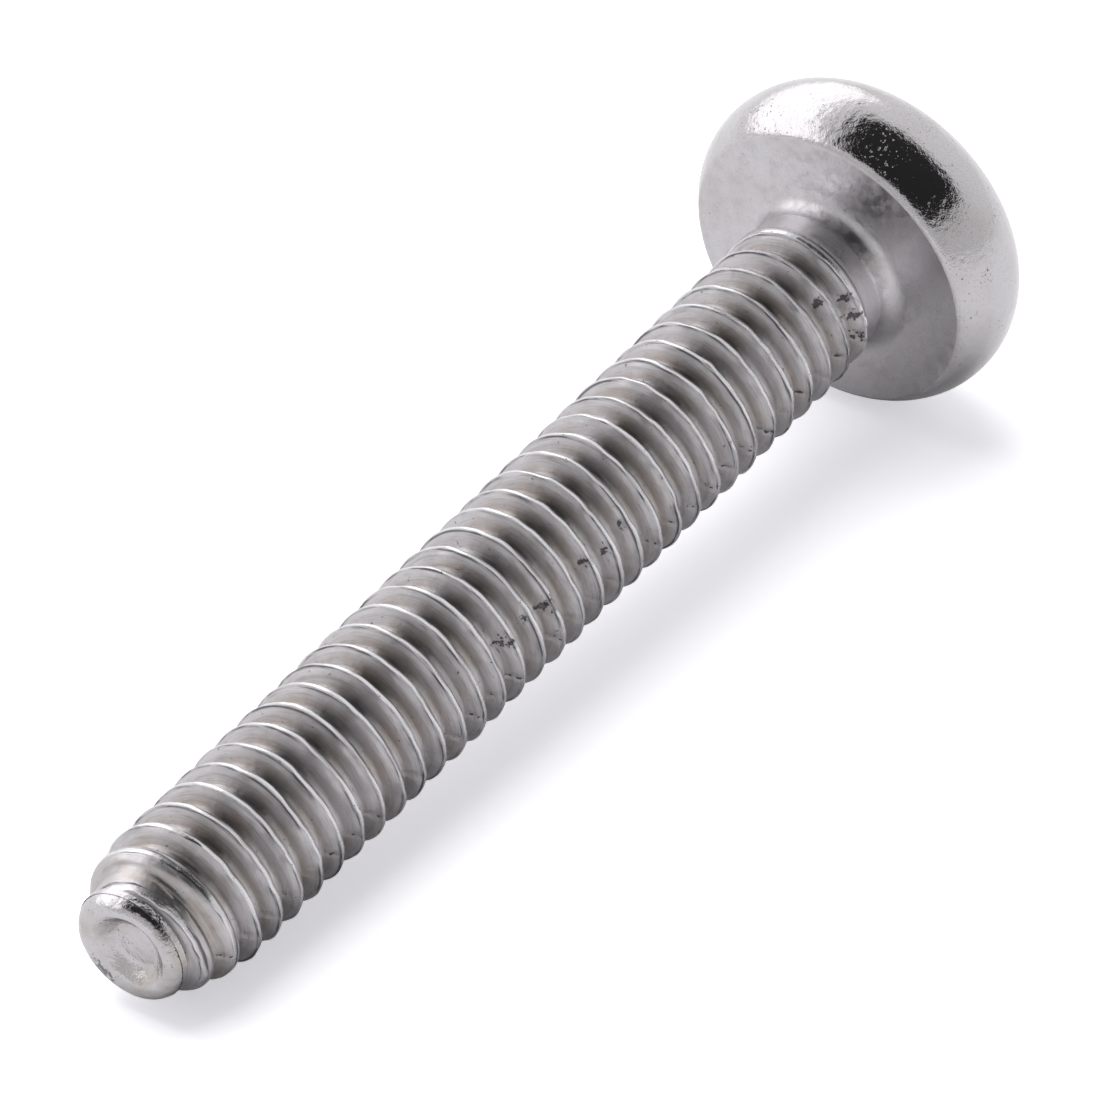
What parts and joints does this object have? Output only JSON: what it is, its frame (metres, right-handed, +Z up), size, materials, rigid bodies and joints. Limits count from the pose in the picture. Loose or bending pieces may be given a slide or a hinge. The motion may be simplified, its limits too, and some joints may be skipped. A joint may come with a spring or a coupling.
{
  "type": "pan head thread-forming screw",
  "caption": "Short steel screw with a rounded pan head, six-lobed drive recess and a lobed shank whose thread presses its own mating thread into a plain hole; lies on its side.",
  "frame": {"origin": "centre of the bearing face under the head, on the screw's axis", "axes": "the screw lies along X with its tip toward +X and slightly down, +Z up, +Y to the side"},
  "size_m": [0.0281, 0.0078, 0.0078],
  "materials": {
    "steel": "satin, cold-formed and rolled"
  },
  "bodies": {
    "root": {"screw": "steel"}
  },
  "joints": []
}
